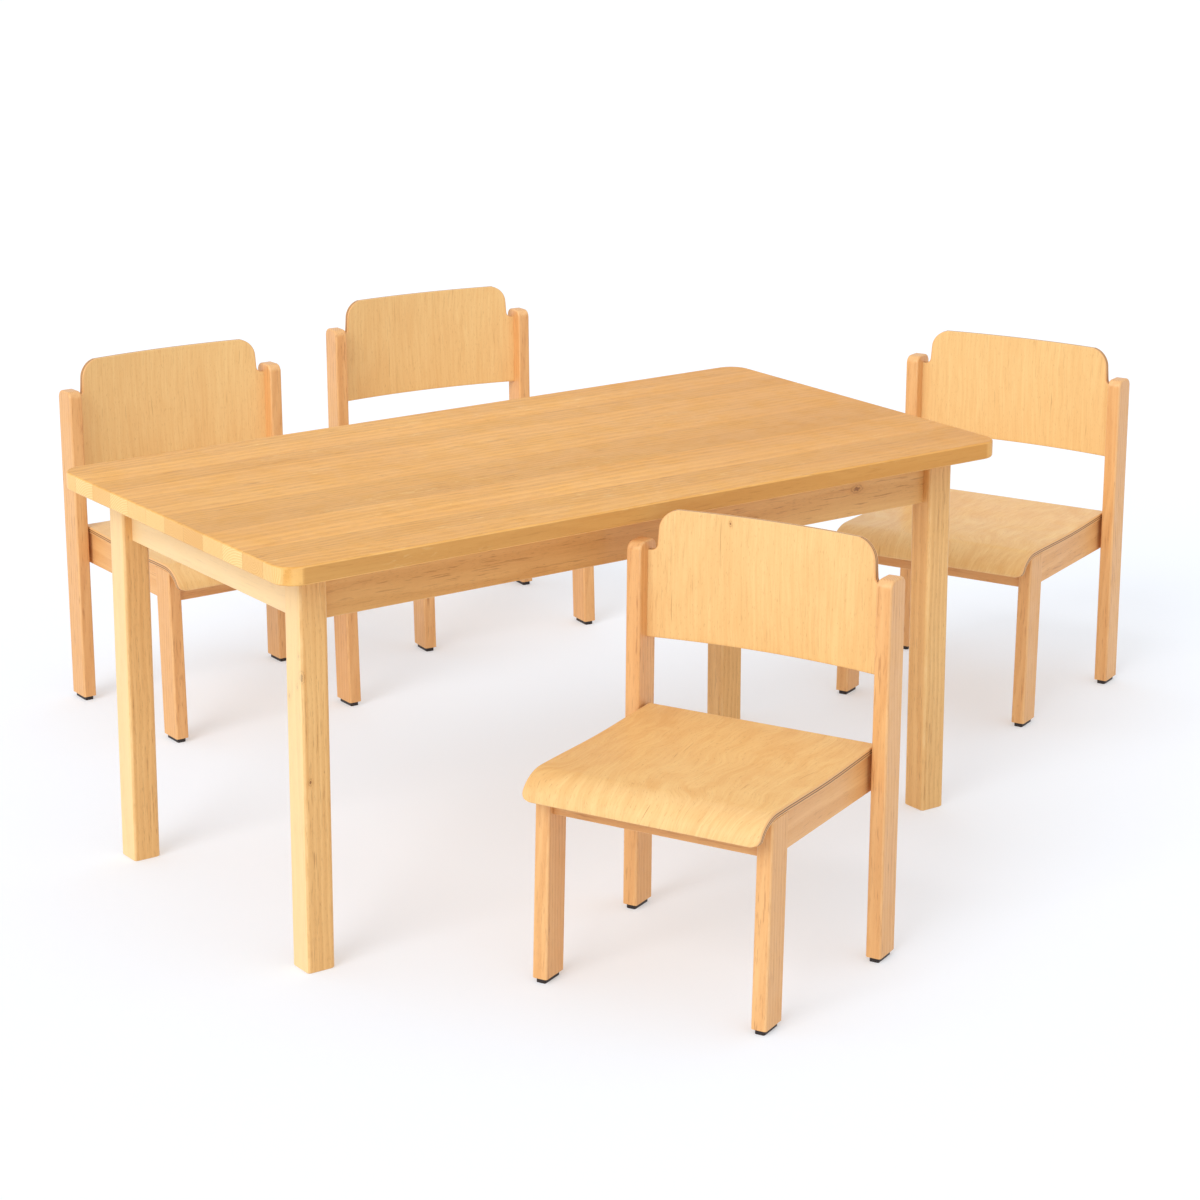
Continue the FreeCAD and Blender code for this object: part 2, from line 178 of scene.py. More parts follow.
def makeGrainGroup():
    # growth figure, streaks and pores for wood whose grain runs along the vector's X, in metres
    tree, inside, outside = newGroup("longGrain", [
        ("Vector", "NodeSocketVector", None), ("Seed", "NodeSocketFloat", 0.0),
        ("Ring Width", "NodeSocketFloat", 0.012), ("Waviness", "NodeSocketFloat", 1.0),
        ("Pore Length", "NodeSocketFloat", 0.012)],
        [("Figure", "NodeSocketFloat"), ("Streak", "NodeSocketFloat"), ("Stroke", "NodeSocketFloat"),
         ("Pores", "NodeSocketFloat"), ("Height", "NodeSocketFloat")])
    seed = inside.outputs["Seed"]
    offset = joinXyz(tree, seed, times(tree, seed, 0.37), times(tree, seed, 0.61))
    place = vectorNode(tree, "ADD", inside.outputs["Vector"], offset)
    # the rings wander slowly along the grain
    wander = noiseNode(tree, stretched(tree, place, 2.2, 7.0, 7.0), 1.0, 3.0, 0.55)
    wander = times(tree, minus(tree, wander, 0.5), times(tree, inside.outputs["Waviness"], grainShape["stray"]))
    x, y, z = splitXyz(tree, place)
    across = plus(tree, plus(tree, y, times(tree, z, grainShape["slant"])), wander)
    rings = mathNode(tree, "DIVIDE", across, inside.outputs["Ring Width"])
    saw = mathNode(tree, "FRACT", rings)
    ringEdge = times(tree, ramp(tree, saw, 0.0, 0.72), ramp(tree, saw, 1.0, 0.8))
    ringPlace = joinXyz(tree, times(tree, x, 1.3), mathNode(tree, "FLOOR", rings), 0.0)
    ringLevel = noiseNode(tree, ringPlace, 1.7, 2.0, 0.5)
    broad = noiseNode(tree, stretched(tree, place, 1.6, 26.0, 26.0), 1.0, 4.0, 0.6, 0.4)
    figure = plus(tree, times(tree, times(tree, ringEdge, ringLevel), grainShape["ringShare"]),
                  times(tree, broad, grainShape["broadShare"]))
    figure = ramp(tree, figure, 0.1, 1.0, 0.0, 1.0, False)
    streak = noiseNode(tree, stretched(tree, place, 7.0, grainShape["fibre"], grainShape["fibre"]), 1.0, 5.0, 0.62)
    streak = ramp(tree, streak, 0.3, 0.72)
    lengthwise = mathNode(tree, "DIVIDE", 1.0, inside.outputs["Pore Length"])
    poreScale = joinXyz(tree, lengthwise, grainShape["pore"], grainShape["pore"])
    poreVector = vectorNode(tree, "MULTIPLY", place, poreScale)
    pores = noiseNode(tree, poreVector, 1.0, 2.0, 0.5)
    pores = times(tree, ramp(tree, pores, 0.58, 0.70),
                  ramp(tree, saw, 0.15, 0.75, grainShape["poreInEarlyWood"], 1.0))
    # sparse dark strokes a few centimetres long, thicker in some stretches than in others
    stroke = noiseNode(tree, stretched(tree, place, 26.0, 430.0, 430.0), 1.0, 2.0, 0.55, 0.15)
    stretch = noiseNode(tree, stretched(tree, place, 5.0, 34.0, 34.0), 1.0, 2.0, 0.5)
    stroke = times(tree, ramp(tree, stroke, 0.57, 0.70),
                   ramp(tree, stretch, 0.35, 0.65, grainShape["strokeAtLeast"], 1.0))
    height = minus(tree, times(tree, streak, 0.5), times(tree, plus(tree, pores, stroke), 0.6))
    results = {"Figure": figure, "Streak": streak, "Stroke": stroke, "Pores": pores, "Height": height}
    for label, value in results.items():
        tree.links.new(value, outside.inputs[label])
    return tree


endShape = {
    "sway": 0.05,           # metres that the heart lies aside, one way or the other
    "depth": 0.06,
    "ring": 0.0034,
    "wander": 0.004,
    "pore": 1500.0,
}


def makeEndGrainGroup():
    # cut ends: curved growth rings with open pores, in the vector's YZ plane
    tree, inside, outside = newGroup("endGrain", [
        ("Vector", "NodeSocketVector", None), ("Seed", "NodeSocketFloat", 0.0)],
        [("Rings", "NodeSocketFloat"), ("Pores", "NodeSocketFloat")])
    seed = inside.outputs["Seed"]
    y, z = splitXyz(tree, inside.outputs["Vector"])[1:]
    swing = mathNode(tree, "SINE", times(tree, seed, 12.7))
    centreY = times(tree, swing, endShape["sway"])
    dy = minus(tree, y, centreY)
    dz = plus(tree, z, times(tree, mathNode(tree, "COSINE", times(tree, seed, 7.3)), endShape["depth"]))
    reach = mathNode(tree, "SQRT", plus(tree, times(tree, dy, dy), times(tree, dz, dz)))
    wander = noiseNode(tree, joinXyz(tree, seed, y, z), 45.0, 2.0, 0.5)
    reach = plus(tree, reach, times(tree, wander, endShape["wander"]))
    saw = mathNode(tree, "FRACT", mathNode(tree, "DIVIDE", reach, endShape["ring"]))
    rings = ramp(tree, saw, 0.1, 0.9)
    pores = ramp(tree, noiseNode(tree, joinXyz(tree, seed, y, z), endShape["pore"], 2.0, 0.6), 0.5, 0.66)
    tree.links.new(rings, outside.inputs["Rings"])
    tree.links.new(pores, outside.inputs["Pores"])
    return tree


def makeHandlingGroup():
    # slow tone drift and faint smudges that handling leaves in the finish
    tree, inside, outside = newGroup("handlingWear", [
        ("Vector", "NodeSocketVector", None), ("Seed", "NodeSocketFloat", 0.0)],
        [("Tone", "NodeSocketFloat"), ("Smudge", "NodeSocketFloat")])
    seed = inside.outputs["Seed"]
    place = vectorNode(tree, "ADD", inside.outputs["Vector"], joinXyz(tree, seed, seed, 0.0))
    tree.links.new(noiseNode(tree, place, 3.5, 3.0, 0.5), outside.inputs["Tone"])
    smudge = ramp(tree, noiseNode(tree, place, 22.0, 4.0, 0.6), 0.35, 0.8)
    tree.links.new(smudge, outside.inputs["Smudge"])
    return tree


def makeArrisGroup():
    # rounded edges, where the surface faces between two axes of the piece, rubbed unevenly
    tree, inside, outside = newGroup("arrisWear", [
        ("Normal", "NodeSocketVector", None), ("Vector", "NodeSocketVector", None)],
        [("Rub", "NodeSocketFloat")])
    x, y, z = splitXyz(tree, vectorNode(tree, "ABSOLUTE", inside.outputs["Normal"]))
    most = mathNode(tree, "MAXIMUM", mathNode(tree, "MAXIMUM", x, y), z)
    between = ramp(tree, most, 0.985, 0.86)
    uneven = ramp(tree, noiseNode(tree, inside.outputs["Vector"], 28.0, 4.0, 0.6), 0.35, 0.7, 0.3, 1.0)
    tree.links.new(times(tree, between, uneven), outside.inputs["Rub"])
    return tree


def makeKnotGroup():
    # small knot: dark heart, a ring round it and a halo, drawn out along the vector's X
    tree, inside, outside = newGroup("smallKnot", [
        ("Vector", "NodeSocketVector", None), ("Centre", "NodeSocketVector", (0, 0, 0)),
        ("Size", "NodeSocketFloat", 0.006)],
        [("Heart", "NodeSocketFloat"), ("Halo", "NodeSocketFloat")])
    offset = vectorNode(tree, "SUBTRACT", inside.outputs["Vector"], inside.outputs["Centre"])
    offset = stretched(tree, offset, 0.55, 1.0, 1.0)
    length = tree.nodes.new("ShaderNodeVectorMath")
    length.operation = "LENGTH"
    tree.links.new(offset, length.inputs[0])
    wobble = noiseNode(tree, inside.outputs["Vector"], 320.0, 2.0, 0.5)
    radius = mathNode(tree, "DIVIDE", length.outputs["Value"], inside.outputs["Size"])
    radius = plus(tree, radius, times(tree, minus(tree, wobble, 0.5), 0.9))
    heart = ramp(tree, radius, 0.75, 0.3)
    ring = times(tree, ramp(tree, mathNode(tree, "ABSOLUTE", minus(tree, radius, 1.0)), 0.22, 0.0), 0.45)
    tree.links.new(mathNode(tree, "MAXIMUM", heart, ring), outside.inputs["Heart"])
    tree.links.new(ramp(tree, radius, 2.6, 0.8), outside.inputs["Halo"])
    return tree


grainGroup = makeGrainGroup()
arrisGroup = makeArrisGroup()
knotGroup = makeKnotGroup()
endGroup = makeEndGrainGroup()
handlingGroup = makeHandlingGroup()


def addGroup(tree, group, **values):
    node = tree.nodes.new("ShaderNodeGroup")
    node.node_tree = group
    for label, value in values.items():
        plug(tree, value, node.inputs[label.replace("_", " ")])
    return node


def newMaterial(name, roughness=0.5, coat=0.0, specular=0.5):
    material = bpy.data.materials.new(name)
    material.use_nodes = True
    tree = material.node_tree
    shader = tree.nodes["Principled BSDF"]
    shader.inputs["Roughness"].default_value = roughness
    shader.inputs["Specular IOR Level"].default_value = specular
    shader.inputs["Coat Weight"].default_value = coat
    shader.inputs["Coat Roughness"].default_value = 0.28
    return material, tree, shader


def addBump(tree, shader, height, strength, distance):
    bump = tree.nodes.new("ShaderNodeBump")
    bump.inputs["Strength"].default_value = strength
    bump.inputs["Distance"].default_value = distance
    plug(tree, height, bump.inputs["Height"])
    tree.links.new(bump.outputs["Normal"], shader.inputs["Normal"])


def objectPlace(tree, centre=(0, 0, 0), turn=0.0):
    # object coordinates moved to a piece's own centre and turned to its own axes
    coordinate = tree.nodes.new("ShaderNodeTexCoord")
    mapping = tree.nodes.new("ShaderNodeMapping")
    mapping.vector_type = "TEXTURE"
    mapping.inputs["Location"].default_value = centre
    mapping.inputs["Rotation"].default_value = (0, 0, turn)
    tree.links.new(coordinate.outputs["Object"], mapping.inputs["Vector"])
    return mapping.outputs["Vector"]


def pieceNormal(tree, turn):
    # the way the surface faces, in the piece's own axes
    geometry = tree.nodes.new("ShaderNodeNewGeometry")
    mapping = tree.nodes.new("ShaderNodeMapping")
    mapping.vector_type = "TEXTURE"
    mapping.inputs["Rotation"].default_value = (0, 0, turn)
    tree.links.new(geometry.outputs["Normal"], mapping.inputs["Vector"])
    return mapping.outputs["Vector"]


def squareTo(tree, normal, axis):
    # 1 on faces square to the axis, 0 elsewhere
    return ramp(tree, mathNode(tree, "ABSOLUTE", splitXyz(tree, normal)[axis]), 0.75, 0.9)


def addKnots(tree, color, vector, knots, look):
    # each knot is (x, y, z, size) in the grain's own order
    for x, y, z, size in knots:
        knot = addGroup(tree, knotGroup, Vector=vector, Centre=(x, y, z), Size=size)
        color = stain(tree, color, knot.outputs["Halo"], 0.4, look["deep"])
        color = stain(tree, color, knot.outputs["Heart"], 0.8, look["knot"])
    return color


def grainOrder(tree, place, axis):
    # reorders a vector so that the grain's own axis comes first
    x, y, z = splitXyz(tree, place)
    if axis == 0:
        return joinXyz(tree, x, y, z)
    if axis == 1:
        return joinXyz(tree, y, x, z)
    return joinXyz(tree, z, x, y)


# solid wood, each look with its own colours

topLook = {
    "pale": linear(240, 184, 102),
    "deep": linear(208, 141, 62),
    "pore": linear(158, 98, 40),
    "fleck": linear(246, 208, 140),
    # rubbed colour: worn edges, and also the painted light on the side faces
    "rubbedAndLit": linear(250, 208, 140),
    "endPale": linear(246, 206, 140),
    "endDeep": linear(212, 156, 84),
    "halfWidth": 0.318,
    "stave": 0.053,
    "toneLow": 0.90,
    "toneSpan": 0.18,
    "ringWidth": (0.007, 0.012),    # least, and how much more by stave
    "figure": 0.7,
    "streak": 0.25,
    "pores": 0.5,
    "flecks": 0.6,
    "endRings": 0.45,
    "endPores": 0.3,
    "sidePaintedLight": 0.35,
    "rub": 0.4,
    "joint": 0.45,
    "drift": 0.15,
    "farEndShade": 0.4,
    "roughness": 0.48,
}

oakLook = {
    "pale": linear(238, 192, 126),
    "deep": linear(208, 150, 82),
    "pore": linear(150, 96, 48),
    "knot": linear(112, 62, 28),
    # rubbed colour: worn edges, and also the painted light on the faces square to X
    "rubbedAndLit": linear(250, 216, 158),
    "figure": 0.75,
    "waviness": 0.7,
    "poreAmount": 0.5,
    "strokeAmount": 0.5,
    "streak": 0.3,
    "endRings": 0.65,
    "endPores": 0.4,
    "drift": 0.25,
    "rub": 0.35,
    "roughness": 0.42,
}

beechLook = {
    "pale": linear(239, 189, 128),
    "deep": linear(214, 150, 88),
    "pore": linear(160, 96, 52),
    "knot": linear(120, 66, 34),
    "rubbedAndLit": linear(248, 206, 152),
    "figure": 0.7,
    "waviness": 0.6,
    "poreAmount": 0.3,
    "strokeAmount": 0.55,
    "streak": 0.3,
    "endRings": 0.65,
    "endPores": 0.4,
    "drift": 0.25,
    "rub": 0.35,
    "roughness": 0.40,
}


def solidWood(name, look, axis, centre=(0, 0, 0), turn=0.0, seed=0.0, ringWidth=0.010,
              knots=(), lift=(1, 1, 1), litSidePaint=0.0):
    # planed solid wood with its grain along one axis, and cut ends square to it;
    # the side paleness is painted light, lightening the faces square to X as the light from the left brightens
    # them
    material, tree, shader = newMaterial(name, look["roughness"], 0.06, 0.35)
    place = objectPlace(tree, centre, turn)
    normal = pieceNormal(tree, turn)
    along = grainOrder(tree, place, axis)
    grain = addGroup(tree, grainGroup, Vector=along, Seed=seed, Ring_Width=ringWidth,
                     Waviness=look["waviness"], Pore_Length=0.010)
    handling = addGroup(tree, handlingGroup, Vector=place, Seed=seed)
    arris = addGroup(tree, arrisGroup, Vector=place, Normal=normal)
    color = stain(tree, look["pale"], grain.outputs["Figure"], look["figure"], look["deep"])
    color = stain(tree, color, grain.outputs["Streak"], look["streak"], look["deep"])
    color = stain(tree, color, grain.outputs["Pores"], look["poreAmount"], look["pore"])
    color = stain(tree, color, grain.outputs["Stroke"], look["strokeAmount"], look["pore"])
    color = addKnots(tree, color, along, knots, look)
    ends = addGroup(tree, endGroup, Vector=along, Seed=seed + 1.3)
    cut = stain(tree, look["pale"], ends.outputs["Rings"], look["endRings"], look["deep"])
    cut = stain(tree, cut, ends.outputs["Pores"], look["endPores"], look["pore"])
    color = mixColor(tree, squareTo(tree, normal, axis), color, cut)
    color = stain(tree, color, ramp(tree, handling.outputs["Tone"], 0.3, 0.7), look["drift"], look["deep"])
    color = stain(tree, color, arris.outputs["Rub"], look["rub"], look["rubbedAndLit"])
    # painted light: the faces square to X are lightened, as if lit from the side
    if litSidePaint > 0:
        color = stain(tree, color, squareTo(tree, normal, 0), litSidePaint, look["rubbedAndLit"])
    color = mixColor(tree, 1.0, color, (lift[0], lift[1], lift[2], 1), "MULTIPLY")
    tree.links.new(color, shader.inputs["Base Color"])
    smoothest, dullest = look["roughness"] - 0.05, look["roughness"] + 0.12
    dull = ramp(tree, handling.outputs["Smudge"], 0, 1, smoothest, dullest, False)
    tree.links.new(minus(tree, dull, times(tree, arris.outputs["Rub"], 0.1)), shader.inputs["Roughness"])
    addBump(tree, shader, grain.outputs["Height"], 0.4, 0.0003)
    return material


def tableTopWood():
    # edge-glued staves along X: each stave has its own tone, figure and ray flecks
    material, tree, shader = newMaterial("oakTop", topLook["roughness"], 0.0, 0.1)
    place = objectPlace(tree, (layout["table"][0], layout["table"][1], 0))
    x, y, z = splitXyz(tree, place)
    row = mathNode(tree, "DIVIDE", plus(tree, y, topLook["halfWidth"]), topLook["stave"])
    stave = mathNode(tree, "FLOOR", row)
    inStave = mathNode(tree, "FRACT", row)
    pick = tree.nodes.new("ShaderNodeTexWhiteNoise")
    pick.noise_dimensions = "1D"
    plug(tree, plus(tree, stave, 3.7), pick.inputs["W"])
    staveTone = pick.outputs["Value"]
    shift = times(tree, staveTone, 9.0)
    shifted = joinXyz(tree, plus(tree, x, shift), plus(tree, y, times(tree, stave, 0.21)),
                      plus(tree, z, times(tree, staveTone, 2.0)))
    leastRing, moreRing = topLook["ringWidth"]
    grain = addGroup(tree, grainGroup, Vector=shifted, Seed=0.0,
                     Ring_Width=plus(tree, leastRing, times(tree, staveTone, moreRing)),
                     Waviness=1.2, Pore_Length=0.014)
    handling = addGroup(tree, handlingGroup, Vector=place, Seed=2.0)
    color = stain(tree, topLook["pale"], grain.outputs["Figure"], topLook["figure"], topLook["deep"])
    color = stain(tree, color, grain.outputs["Streak"], topLook["streak"], topLook["deep"])
    color = stain(tree, color, grain.outputs["Pores"], topLook["pores"], topLook["pore"])
    color = stain(tree, color, grain.outputs["Stroke"], topLook["pores"], topLook["pore"])
    # silvery ray flecks, only in some staves and some stretches
    fleck = noiseNode(tree, stretched(tree, shifted, 38.0, 190.0, 190.0), 1.0, 3.0, 0.55, 0.6)
    patch = noiseNode(tree, stretched(tree, shifted, 2.4, 16.0, 16.0), 1.0, 2.0, 0.5)
    fleck = times(tree, ramp(tree, fleck, 0.60, 0.68), ramp(tree, patch, 0.50, 0.64))
    color = stain(tree, color, fleck, topLook["flecks"], topLook["fleck"])
    # each stave's own tone, then the hairline between staves
    tone = mathNode(tree, "MULTIPLY_ADD", staveTone, topLook["toneSpan"], topLook["toneLow"])
    toneColor = joinXyz(tree, tone, mathNode(tree, "POWER", tone, 1.1), mathNode(tree, "POWER", tone, 1.3))
    color = mixColor(tree, 1.0, color, toneColor, "MULTIPLY")
    gap = mathNode(tree, "ABSOLUTE", minus(tree, inStave, 0.5))
    joint = ramp(tree, gap, 0.490, 0.499)
    endPlace = joinXyz(tree, x, times(tree, minus(tree, inStave, 0.5), topLook["stave"]), minus(tree, z, 0.55))
    ends = addGroup(tree, endGroup, Vector=endPlace, Seed=staveTone)
    cut = stain(tree, topLook["endPale"], ends.outputs["Rings"], topLook["endRings"], topLook["endDeep"])
    cut = stain(tree, cut, ends.outputs["Pores"], topLook["endPores"], topLook["deep"])
    endTone = times(tree, tone, tone)
    cut = mixColor(tree, 1.0, cut, joinXyz(tree, tone, endTone, times(tree, endTone, tone)), "MULTIPLY")
    normal = pieceNormal(tree, 0.0)
    arris = addGroup(tree, arrisGroup, Vector=place, Normal=normal)
    color = mixColor(tree, squareTo(tree, normal, 0), color, cut)
    # painted light: the top's side faces, square to Y, are made paler as the light brightens them
    color = stain(tree, color, squareTo(tree, normal, 1), topLook["sidePaintedLight"], topLook["rubbedAndLit"])
    color = stain(tree, color, arris.outputs["Rub"], topLook["rub"], topLook["rubbedAndLit"])
    color = stain(tree, color, joint, topLook["joint"], topLook["pore"])
    color = stain(tree, color, ramp(tree, handling.outputs["Tone"], 0.35, 0.7), topLook["drift"], topLook["deep"])
    # painted shade: the top darkens a little toward its far end
    color = stain(tree, color, ramp(tree, x, -0.1, 0.6), topLook["farEndShade"], topLook["deep"])
    tree.links.new(color, shader.inputs["Base Color"])
    tree.links.new(ramp(tree, handling.outputs["Smudge"], 0, 1, 0.32, 0.46, False), shader.inputs["Roughness"])
    height = minus(tree, grain.outputs["Height"], times(tree, joint, 0.8))
    addBump(tree, shader, height, 0.3, 0.00025)
    return material


# plywood faces and edges

plyLook = {
    "pale": linear(241, 203, 140),
    "deep": linear(224, 170, 105),
    "fleck": linear(168, 106, 52),
    "knot": linear(122, 70, 34),
    "figure": 0.22,
    "fine": 0.32,
    "flecks": 0.3,
    "minerals": 0.6,
    "roughness": 0.38,
}


def plyFace(name, alongV, seed, swirl, knots=()):
    # veneer face read from the piece's own UV in metres; swirl makes the rolling figure of a peeled veneer
    material, tree, shader = newMaterial(name, plyLook["roughness"], 0.05, 0.3)
    layer = tree.nodes.new("ShaderNodeUVMap")
    layer.uv_map = "surface"
    u, v = splitXyz(tree, layer.outputs["UV"])[:2]
    place = joinXyz(tree, v, u, 0.0) if alongV else joinXyz(tree, u, v, 0.0)
    # the whole figure leans and rolls a little from one side to the other
    roll = minus(tree, noiseNode(tree, place, 4.5, 2.0, 0.5), 0.5)
    rolled = vectorNode(tree, "ADD", place, joinXyz(tree, 0.0, times(tree, roll, 0.02 + 0.10 * swirl), seed))
    grain = addGroup(tree, grainGroup, Vector=rolled, Seed=seed, Ring_Width=0.017,
                     Waviness=1.0 + swirl, Pore_Length=0.006)
    handling = addGroup(tree, handlingGroup, Vector=place, Seed=seed)
    cloud = noiseNode(tree, stretched(tree, rolled, 7.0, 24.0, 1.0), 1.0, 5.0, 0.62, 0.6 + 1.2 * swirl)
    cloud = ramp(tree, cloud, 0.35, 0.7)
    fine = noiseNode(tree, stretched(tree, rolled, 9.0, 260.0, 1.0), 1.0, 4.0, 0.65, 0.2)
    fine = ramp(tree, fine, 0.35, 0.68)
    color = stain(tree, plyLook["pale"], grain.outputs["Figure"], plyLook["figure"], plyLook["deep"])
    color = stain(tree, color, cloud, 0.25 + 0.3 * swirl, plyLook["deep"])
    color = stain(tree, color, fine, plyLook["fine"], plyLook["deep"])
    # small dark ray flecks, short strokes and a few long mineral streaks
    fleck = noiseNode(tree, stretched(tree, rolled, 120.0, 900.0, 1.0), 1.0, 2.0, 0.5)
    fleck = ramp(tree, fleck, 0.62, 0.70)
    mineral = noiseNode(tree, stretched(tree, rolled, 10.0, 330.0, 1.0), 1.0, 2.0, 0.5, 0.3)
    mineral = ramp(tree, mineral, 0.70, 0.78)
    dark = mathNode(tree, "MAXIMUM", times(tree, fleck, plyLook["flecks"]),
                    times(tree, mineral, plyLook["minerals"]))
    dark = mathNode(tree, "MAXIMUM", dark, times(tree, grain.outputs["Stroke"], 0.22 - 0.08 * swirl))
    color = mixColor(tree, dark, color, plyLook["fleck"])
    color = addKnots(tree, color, place, knots, plyLook)
    tree.links.new(color, shader.inputs["Base Color"])
    tree.links.new(ramp(tree, handling.outputs["Smudge"], 0, 1, 0.33, 0.47, False), shader.inputs["Roughness"])
    addBump(tree, shader, grain.outputs["Height"], 0.25, 0.0002)
    return material


plyEdgeLook = {
    "pale": linear(236, 186, 124),
    "core": linear(206, 146, 88),
    "glue": linear(104, 58, 30),
    "glueLines": (0.36, 0.68),      # shares of the thickness
    "glueReach": (0.105, 0.045),    # where a line starts to show and where it is full
    "coreMiddle": 0.52,
}


def plyEdge():
    # three light plies between two dark glue lines; UV is metres along the edge and the share of the thickness
    look = plyEdgeLook
    material, tree, shader = newMaterial("plyEdge", 0.5, 0.08, 0.4)
    layer = tree.nodes.new("ShaderNodeUVMap")
    layer.uv_map = "surface"
    u, v = splitXyz(tree, layer.outputs["UV"])[:2]
    wander = noiseNode(tree, joinXyz(tree, u, 0.0, 0.0), 45.0, 3.0, 0.6)
    level = plus(tree, v, times(tree, minus(tree, wander, 0.5), 0.08))

    def near(where, start, full):
        return ramp(tree, mathNode(tree, "ABSOLUTE", minus(tree, level, where)), start, full)

    lines = [near(where, *look["glueReach"]) for where in look["glueLines"]]
    line = mathNode(tree, "MAXIMUM", lines[0], lines[1])
    core = near(look["coreMiddle"], 0.17, 0.13)
    fibre = noiseNode(tree, joinXyz(tree, times(tree, u, 700.0), times(tree, v, 9.0), 0.0), 1.0, 3.0, 0.6)
    color = stain(tree, look["pale"], core, 0.5, look["core"])
    color = stain(tree, color, fibre, 0.35, look["core"])
    color = stain(tree, color, line, 0.85, look["glue"])
    tree.links.new(color, shader.inputs["Base Color"])
    addBump(tree, shader, minus(tree, fibre, line), 0.4, 0.0003)
    return material


# fittings

glideLook = {
    "dark": linear(24, 15, 13),
    "light": linear(40, 27, 23),
    "scuffed": linear(90, 74, 64),
    "scuffs": 0.15,
    "roughness": (0.45, 0.75),
}


def glidePlastic():
    # speckled dark plastic, scuffed in bands
    material, tree, shader = newMaterial("glidePlastic", 0.55, 0.0, 0.5)
    place = objectPlace(tree)
    speckle = noiseNode(tree, place, 900.0, 3.0, 0.6)
    scuff = ramp(tree, noiseNode(tree, stretched(tree, place, 160.0, 160.0, 900.0), 1.0, 3.0, 0.6), 0.5, 0.8)
    color = mixColor(tree, speckle, glideLook["dark"], glideLook["light"])
    color = stain(tree, color, scuff, glideLook["scuffs"], glideLook["scuffed"])
    tree.links.new(color, shader.inputs["Base Color"])
    tree.links.new(ramp(tree, scuff, 0, 1, *glideLook["roughness"], False), shader.inputs["Roughness"])
    addBump(tree, shader, speckle, 0.3, 0.0002)
    return material


steelLook = {
    "dark": linear(150, 152, 155),
    "light": linear(196, 198, 200),
    "roughness": (0.28, 0.5),
}


def screwSteel():
    # zinc-plated steel with an uneven haze
    material, tree, shader = newMaterial("screwSteel", 0.35, 0.0, 0.5)
    shader.inputs["Metallic"].default_value = 1.0
    haze = noiseNode(tree, objectPlace(tree), 400.0, 4.0, 0.6)
    color = mixColor(tree, haze, steelLook["dark"], steelLook["light"])
    tree.links.new(color, shader.inputs["Base Color"])
    tree.links.new(ramp(tree, haze, 0.3, 0.7, *steelLook["roughness"], False), shader.inputs["Roughness"])
    return material


# finishes of the CAD nodes

def dress(name, material):
    mesh = nodes[name].data
    if len(mesh.materials) == 0:
        mesh.materials.append(material)
    for index in range(len(mesh.materials)):
        mesh.materials[index] = material


tableCentre = (layout["table"][0], layout["table"][1], 0)
steel = screwSteel()
plastic = glidePlastic()
dress("table_top", tableTopWood())

# knots in the near leg and near the right-hand end of the long apron, as (along, across, across, size)
legKnots = {"left_front": [
    (0.435, -0.5495, -0.262, 0.0030), (0.407, -0.549, -0.2655, 0.0048), (0.392, -0.550, -0.257, 0.0028),
    (0.375, -0.550, -0.236, 0.0038), (0.264, -0.540, -0.268, 0.0026)]}
apronKnots = {"front": [(0.381, -0.253, 0.515, 0.0055)]}

tableWood = {
    # painted light: the left-hand legs' faces square to X are made paler, as the light from the left brightens
    # them
    "legPaintedLight": {"left_front": 0.6, "left_back": 0.6, "right_front": 0.0, "right_back": 0.0},
    "legLift": (1.03, 1.06, 1.1),
    "legRings": 0.009,
    "longApronLift": (0.98, 0.97, 0.94),
    "longApronRings": 0.013,
    # painted light: the short aprons are brightened overall and on their faces square to X, as the light from the
    # left falls on them
    "shortApronLitTone": (1.06, 1.15, 1.3),
    "shortApronRings": 0.012,
    "shortApronPaintedLight": 0.6,
}

for index, (corner, litPaint) in enumerate(tableWood["legPaintedLight"].items()):
    dress("table_leg_" + corner, solidWood(
        "oakLeg_" + corner, oakLook, 2, tableCentre, 0, 1.7 * index + 0.4, tableWood["legRings"],
        legKnots.get(corner, ()), tableWood["legLift"], litPaint))
for index, side in enumerate(("front", "back")):
    dress("table_apron_" + side, solidWood(
        "oakApron_" + side, oakLook, 0, tableCentre, 0, 3.1 + index, tableWood["longApronRings"],
        apronKnots.get(side, ()), tableWood["longApronLift"]))
for index, side in enumerate(("left", "right")):
    dress("table_apron_" + side, solidWood(
        "oakApron_" + side, oakLook, 1, tableCentre, 0, 5.3 + index, tableWood["shortApronRings"],
        (), tableWood["shortApronLitTone"], tableWood["shortApronPaintedLight"]))
dress("table_corner_braces", solidWood("oakBrace", oakLook, 0, tableCentre, math.pi / 4, 8.8, 0.01))
dress("table_leg_bolts", steel)
dress("table_top_screws", steel)
print("table dressed")


def chairPlace(chair):
    x, y, degrees = layout["chairs"][chair]
    return (layout["table"][0] + x, layout["table"][1] + y, 0), math.radians(degrees)


chairWood = {
    "uprightRings": 0.008,
    "railRings": 0.011,
    "sideRailLift": (1.0, 0.99, 0.97),
    "crossRailLift": (0.97, 0.95, 0.92),
}

